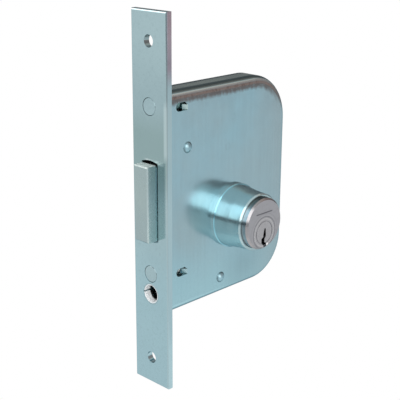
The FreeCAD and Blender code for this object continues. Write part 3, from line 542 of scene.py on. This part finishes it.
# Cylinder: its tints; a turned ring is its radius, half its width, its colour and its share
NICKEL_CLOUD = (0.44, 0.43, 0.44)
NICKEL_SPECK = (0.24, 0.235, 0.25)
NICKEL_CROWN_PAINTED_SHADE = (0.23, 0.235, 0.225)
NICKEL_BEVEL_PAINTED_SHADE = (0.27, 0.265, 0.275)
GROOVE_DARK = (0.10, 0.10, 0.12)
BODY_RINGS = (
    (7.75 * MM, 0.30 * MM, (0.085, 0.085, 0.10), 0.75),
    (8.25 * MM, 0.25 * MM, (0.42, 0.42, 0.43), 0.6),
    (9.3 * MM, 0.22 * MM, (0.16, 0.16, 0.17), 0.35),
)
PLUG_NICKEL = (0.355, 0.358, 0.378)
PLUG_CLOUD = (0.40, 0.395, 0.40)
PLUG_SPECK = (0.26, 0.255, 0.27)
PLUG_RINGS = (
    (6.7 * MM, 0.35 * MM, (0.50, 0.50, 0.51), 0.8),
    (5.55 * MM, 0.28 * MM, (0.15, 0.15, 0.17), 0.55),
    (4.6 * MM, 0.30 * MM, (0.42, 0.42, 0.43), 0.5),
)
GLINT_PLACE = (PLUG_X + 2.3 * MM, PLUG_Z - 6.2 * MM)
GLINT_PAINTED_HIGHLIGHT = (0.95, 0.95, 0.95)


def turn_rings(metal, rings, face):
    # faint rings round the plug's axis, on the flat face
    reach = metal.distance(metal.x, metal.z, (PLUG_X, PLUG_Z))
    for radius, half_width, color, share in rings:
        metal.tint(metal.overlap(metal.ring(reach, radius, half_width), face, share), color)


def nickel_body():
    # satin face with one level line, polished side and bevel, and turned rings round the plug; painted shade
    # over the top of the bevel and side, and over the whole bevel
    metal = Metal("nickel_body", NICKEL_BRIGHT, NICKEL_CLOUD, cloud_share=0.6, roughness=0.16)
    face = metal.fade(metal.ny, -0.93, -0.99)
    metal.tint(face, NICKEL)
    turn_rings(metal, BODY_RINGS, face)
    # painted shade over the top of the bevel and side
    upper_edge = metal.fade(metal.z, SLEEVE_Z + 8.5 * MM, SLEEVE_Z + 11.0 * MM)
    metal.tint(metal.overlap(upper_edge, metal.fade(metal.ny, -0.97, -0.90)), NICKEL_CROWN_PAINTED_SHADE)
    groove_height = metal.band(metal.z, SLEEVE_Z + 5.3 * MM, SLEEVE_Z + 5.7 * MM, 0.2 * MM)
    groove_width = metal.band(metal.x, SLEEVE_X - 5.6 * MM, SLEEVE_X + 5.2 * MM, 0.4 * MM)
    metal.tint(metal.overlap(groove_height, groove_width, face, 0.7), GROOVE_DARK)
    metal.rougher(face, 0.16)
    # painted shade on the bevel
    bevel = metal.band(metal.ny, -0.93, -0.35, 0.04)
    metal.tint(metal.overlap(bevel, 0.8), NICKEL_BEVEL_PAINTED_SHADE)
    metal.rougher(bevel, 0.08)
    metal.speckle(NICKEL_SPECK, scale=700.0, share=0.35)
    metal.grain(scale=1100.0, strength=0.2, depth=0.015 * MM)
    return metal.done()


def nickel_plug():
    # satin face with turned rings, and a painted highlight, a small glint, at the foot of the keyway
    metal = Metal("nickel_plug", PLUG_NICKEL, PLUG_CLOUD, cloud_share=0.6, roughness=0.28)
    turn_rings(metal, PLUG_RINGS, metal.fade(metal.y, PLUG_NEAR_Y + 1.0 * MM, PLUG_NEAR_Y + 0.6 * MM))
    metal.speckle(PLUG_SPECK, scale=700.0, share=0.3)
    # painted highlight, a glint at the foot of the keyway
    from_glint = metal.distance(metal.x, metal.z, GLINT_PLACE)
    metal.tint(metal.fade(from_glint, 0.8 * MM, 0.35 * MM), GLINT_PAINTED_HIGHLIGHT)
    metal.grain(scale=1100.0, strength=0.2, depth=0.015 * MM)
    return metal.done()


def plain_metal(name, base, roughness):
    metal = Metal(name, base, darker(base, 0.8), cloud_share=0.7, roughness=roughness)
    metal.speckle(darker(base, 0.7), scale=700.0, share=0.4)
    metal.grain(scale=800.0, strength=0.25, depth=0.02 * MM)
    return metal.done()


def dress(nodes, material):
    for name in nodes:
        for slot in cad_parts[name].material_slots:
            slot.material = material


def dress_lock():
    dress(("case_tray", "case_cover", "spacer_posts"), plated_sheet())
    dress(("forend",), forend_plate())
    dress(("forend_studs",), stud_metal())
    dress(("front_bush",), bush_metal())
    dress(("bolt_head",), plated_bolt())
    dress(("guard_sleeve",), plated_sleeve())
    dress(("case_rivets",), plated_rivet())
    dress(("guide_post", "cylinder_screws"), plated_fastener())
    dress(("cylinder_body",), nickel_body())
    dress(("cylinder_plug",), nickel_plug())
    dress(("chamber_strip", "driver_pins", "key_pins"), plain_metal("turned_brass", BRASS, 0.3))
    dress(("bolt_tail", "bolt_rivets", "drive_pinion", "pinion_screw"),
          plain_metal("oiled_steel", STEEL, 0.35))
    dress(("brake_spring", "pin_springs", "plug_clip"), plain_metal("spring_steel", SPRING_STEEL, 0.3))


# Studio floor and surroundings
WHITE = (1.0, 1.0, 1.0)
FLOOR_Z = -250.0 * MM
FLOOR_HALF = 40.0
FLOOR_COLOR = (0.86, 0.87, 0.88)
FLOOR_ROUGHNESS = 0.9
WORLD_COLOR = (0.95, 0.97, 1.0)
WORLD_STRENGTH = 0.75

# Panels that only reflections see: two azimuths, two elevations and radiance; FLOOR_LINE is about the
# elevation at which a panel meets the floor
PANEL_DISTANCE = 2.0
PANEL_COLUMNS = 32
PANEL_ROWS = 8
FLOOR_LINE = -7.2
PANELS = {
    "panel_right": (20.0, 95.0, FLOOR_LINE, 36.0, (0.54, 0.42, 0.40)),
    "panel_right_upper": (40.0, 96.0, 36.0, 48.0, (0.95, 0.80, 0.72)),
    "panel_back_right": (96.0, 166.0, FLOOR_LINE, 50.0, (0.40, 0.36, 0.35)),
    "panel_front": (-82.0, -36.0, -16.0, 4.5, (0.05, 0.08, 0.10)),
}

# Card on the floor in front of the case, which only reflections see
CARD_LOW = (-100.0 * MM, -420.0 * MM)
CARD_HIGH = (260.0 * MM, -60.0 * MM)
CARD_LIFT = 1.0 * MM
CARD_RADIANCE = (1.25, 1.22, 1.20)

# Lamps: azimuth, elevation, width, height, power, colour and whether reflections show them
LAMP_DISTANCE = 1.5
LAMPS = {
    "key": (-45.0, 27.5, 2.0, 1.15, 14.2, (1.0, 0.99, 0.98), True),
    "rim": (-148.0, 30.0, 0.9, 0.9, 3.4, WHITE, True),
    "top": (10.0, 75.0, 0.8, 0.8, 2.4, WHITE, False),
}


def emission(tree, radiance):
    node = tree.nodes.new("ShaderNodeEmission")
    node.inputs["Color"].default_value = radiance + (1.0,)
    node.inputs["Strength"].default_value = 1.0
    return node.outputs[0]


def seen_white(tree, output, plain_shader):
    # rays from the camera, and those that metal or glass sends on, meet plain white
    path = tree.nodes.new("ShaderNodeLightPath")
    seen = math_node(tree, "MAXIMUM", path.outputs["Is Camera Ray"], path.outputs["Is Glossy Ray"])
    seen = math_node(tree, "MAXIMUM", seen, path.outputs["Is Transmission Ray"])
    mixed = tree.nodes.new("ShaderNodeMixShader")
    for source, socket in zip((seen, plain_shader, emission(tree, WHITE)), mixed.inputs):
        link(tree, source, socket)
    link(tree, mixed.outputs[0], output.inputs["Surface"])


def light_only_reflections(panel, radiance):
    material = bpy.data.materials.new(panel.name)
    material.use_nodes = True
    tree = material.node_tree
    tree.nodes.clear()
    output = tree.nodes.new("ShaderNodeOutputMaterial")
    link(tree, emission(tree, radiance), output.inputs["Surface"])
    panel.data.materials.append(material)
    panel.visible_camera = False
    panel.visible_diffuse = False
    panel.visible_shadow = False


def mesh_object(name, points, faces):
    mesh = bpy.data.meshes.new(name)
    mesh.from_pydata(points, [], faces)
    thing = bpy.data.objects.new(name, mesh)
    bpy.context.scene.collection.objects.link(thing)
    return thing


def level_rectangle(name, low, high, z):
    points = [(low[0], low[1], z), (high[0], low[1], z), (high[0], high[1], z), (low[0], high[1], z)]
    return mesh_object(name, points, [(0, 1, 2, 3)])


def make_floor():
    floor = level_rectangle("floor", (-FLOOR_HALF, -FLOOR_HALF), (FLOOR_HALF, FLOOR_HALF), FLOOR_Z)
    material, tree, shader = new_material("floor_paper", 0.0)
    shader.inputs["Base Color"].default_value = FLOOR_COLOR + (1.0,)
    shader.inputs["Roughness"].default_value = FLOOR_ROUGHNESS
    seen_white(tree, tree.nodes["Material Output"], shader.outputs[0])
    floor.data.materials.append(material)


def make_floor_card():
    card = level_rectangle("floor_card", CARD_LOW, CARD_HIGH, FLOOR_Z + CARD_LIFT)
    light_only_reflections(card, CARD_RADIANCE)


def studio_point(azimuth, elevation, distance):
    a = math.radians(azimuth)
    e = math.radians(elevation)
    return Vector((math.sin(a) * math.cos(e), -math.cos(a) * math.cos(e), math.sin(e))) * distance


def make_panel(name, start, end, low, high, radiance):
    # a curved panel round the lock, between two azimuths and two elevations
    points = []
    for column in range(PANEL_COLUMNS + 1):
        level = studio_point(start + (end - start) * column / PANEL_COLUMNS, 0.0, PANEL_DISTANCE)
        for row in range(PANEL_ROWS + 1):
            elevation = math.radians(low + (high - low) * row / PANEL_ROWS)
            points.append((level.x, level.y, PANEL_DISTANCE * math.tan(elevation)))
    step = PANEL_ROWS + 1
    faces = []
    for column in range(PANEL_COLUMNS):
        for row in range(PANEL_ROWS):
            corner = column * step + row
            faces.append((corner, corner + step, corner + step + 1, corner + 1))
    light_only_reflections(mesh_object(name, points, faces), radiance)


def make_world():
    world = bpy.data.worlds.new("studio")
    world.use_nodes = True
    bpy.context.scene.world = world
    tree = world.node_tree
    tree.nodes.clear()
    plain = tree.nodes.new("ShaderNodeBackground")
    plain.inputs["Color"].default_value = WORLD_COLOR + (1.0,)
    plain.inputs["Strength"].default_value = WORLD_STRENGTH
    output = tree.nodes.new("ShaderNodeOutputWorld")
    seen_white(tree, output, plain.outputs[0])


def make_light(name, azimuth, elevation, width, height, power, color, reflected):
    # a rectangular lamp that faces the lock
    data = bpy.data.lights.new(name, "AREA")
    data.shape = "RECTANGLE"
    data.size = width
    data.size_y = height
    data.energy = power
    data.color = color
    lamp = bpy.data.objects.new(name, data)
    lamp.location = studio_point(azimuth, elevation, LAMP_DISTANCE)
    lamp.visible_glossy = reflected
    lamp.rotation_euler = lamp.location.to_track_quat("Z", "Y").to_euler()
    bpy.context.scene.collection.objects.link(lamp)


def make_camera():
    data = bpy.data.cameras.new("camera")
    data.lens = CAMERA_LENS
    data.sensor_width = CAMERA_SENSOR
    data.clip_start = CAMERA_CLIP_START
    back = studio_point(CAMERA_AZIMUTH, CAMERA_ELEVATION, 1.0)
    right = (-back).cross(Vector((0.0, 0.0, 1.0))).normalized()
    up = right.cross(-back)
    roll = math.radians(CAMERA_ROLL)
    turned_right = right * math.cos(roll) + up * math.sin(roll)
    turned_up = up * math.cos(roll) - right * math.sin(roll)
    aim = Vector(CAMERA_AIM) + turned_right * CAMERA_AIM_RIGHT + turned_up * CAMERA_AIM_UP
    place = aim + back * CAMERA_DISTANCE
    turn = Matrix((turned_right, turned_up, back)).transposed()
    camera = bpy.data.objects.new("camera", data)
    camera.matrix_world = Matrix.Translation(place) @ turn.to_4x4()
    bpy.context.scene.collection.objects.link(camera)
    bpy.context.scene.camera = camera


make_floor()
for panel_name, panel_setting in PANELS.items():
    make_panel(panel_name, *panel_setting)
make_world()
for lamp_name, lamp_setting in LAMPS.items():
    make_light(lamp_name, *lamp_setting)
make_floor_card()
dress_lock()
make_camera()

bpy.context.scene.view_settings.view_transform = "Standard"
